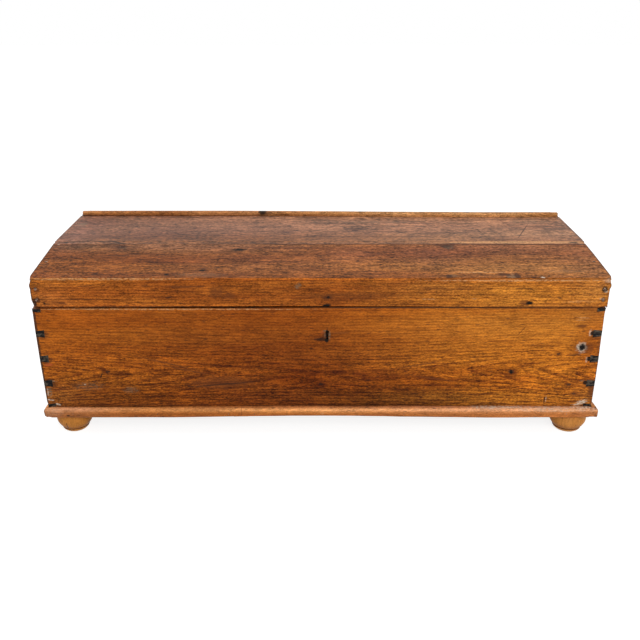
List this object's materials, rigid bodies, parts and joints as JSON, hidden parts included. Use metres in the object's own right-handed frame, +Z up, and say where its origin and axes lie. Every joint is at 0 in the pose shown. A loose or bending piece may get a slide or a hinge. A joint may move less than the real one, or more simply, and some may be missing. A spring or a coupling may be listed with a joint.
{
  "type": "blanket chest",
  "caption": "Low dovetailed pine blanket chest with a cranked hinged lid, sliding lock bolt, base moulding and turned bun feet.",
  "frame": {"origin": "on the floor under the middle of the chest's outline, base moulding and hinge barrels included", "axes": "+X along the chest to the viewer's right, -Y the front with the keyhole, +Z up"},
  "size_m": [1.322, 0.444, 0.4524],
  "materials": {
    "case_pine": "waxed old pine, amber brown, worn at the arrises",
    "top_pine": "waxed old pine, darker reddish brown with a grey bloom",
    "moulding_pine": "waxed pine, paler and pinker",
    "foot_pine": "waxed turned pine, yellow",
    "raw_pine": "unpolished old pine, dry",
    "iron": "forged iron, brown black, dull"
  },
  "bodies": {
    "chest": {"back_board": "raw_pine", "back_feet": "foot_pine", "base_moulding_front_left": "moulding_pine", "base_moulding_front_right": "moulding_pine", "base_moulding_left": "moulding_pine", "base_moulding_nails": "iron", "base_moulding_right": "moulding_pine", "bottom_board_back": "raw_pine", "bottom_board_front": "raw_pine", "bottom_board_middle": "raw_pine", "bottom_nails": "iron", "front_board": "case_pine", "front_feet": "foot_pine", "hinge_lower_strap_left": "iron", "hinge_lower_strap_right": "iron", "hinge_nails_chest": "iron", "hinge_pins": "iron", "left_end_board": "case_pine", "lock_cap": "iron", "lock_case": "iron", "lock_key_pin": "iron", "lock_nails": "iron", "lock_spring": "iron", "right_end_board": "case_pine"},
    "lid": {"lid_front_rail": "case_pine", "lid_back_rail": "case_pine", "lid_left_end": "case_pine", "lid_right_end": "case_pine", "lid_top_front_board": "top_pine", "lid_top_rear_board": "top_pine", "lid_back_bead": "moulding_pine", "lid_top_nails": "iron", "lid_rail_nails": "iron", "lid_bead_nails": "iron", "hinge_upper_strap_left": "iron", "hinge_upper_strap_right": "iron", "hinge_nails_lid": "iron", "lock_keeper": "iron", "lock_keeper_nails": "iron"},
    "bolt": {"lock_bolt": "iron"}
  },
  "joints": [
    {"name": "lid_hinge", "type": "hinge", "parent": "chest", "child": "lid", "pos_m": [0, 0.2165, 0.3305], "axis": [-1, 0, 0], "range_deg": [0, 105]},
    {"name": "bolt_slide", "type": "slide", "parent": "chest", "child": "bolt", "axis": [1, 0, 0], "range_m": [0, 0.009]}
  ]
}
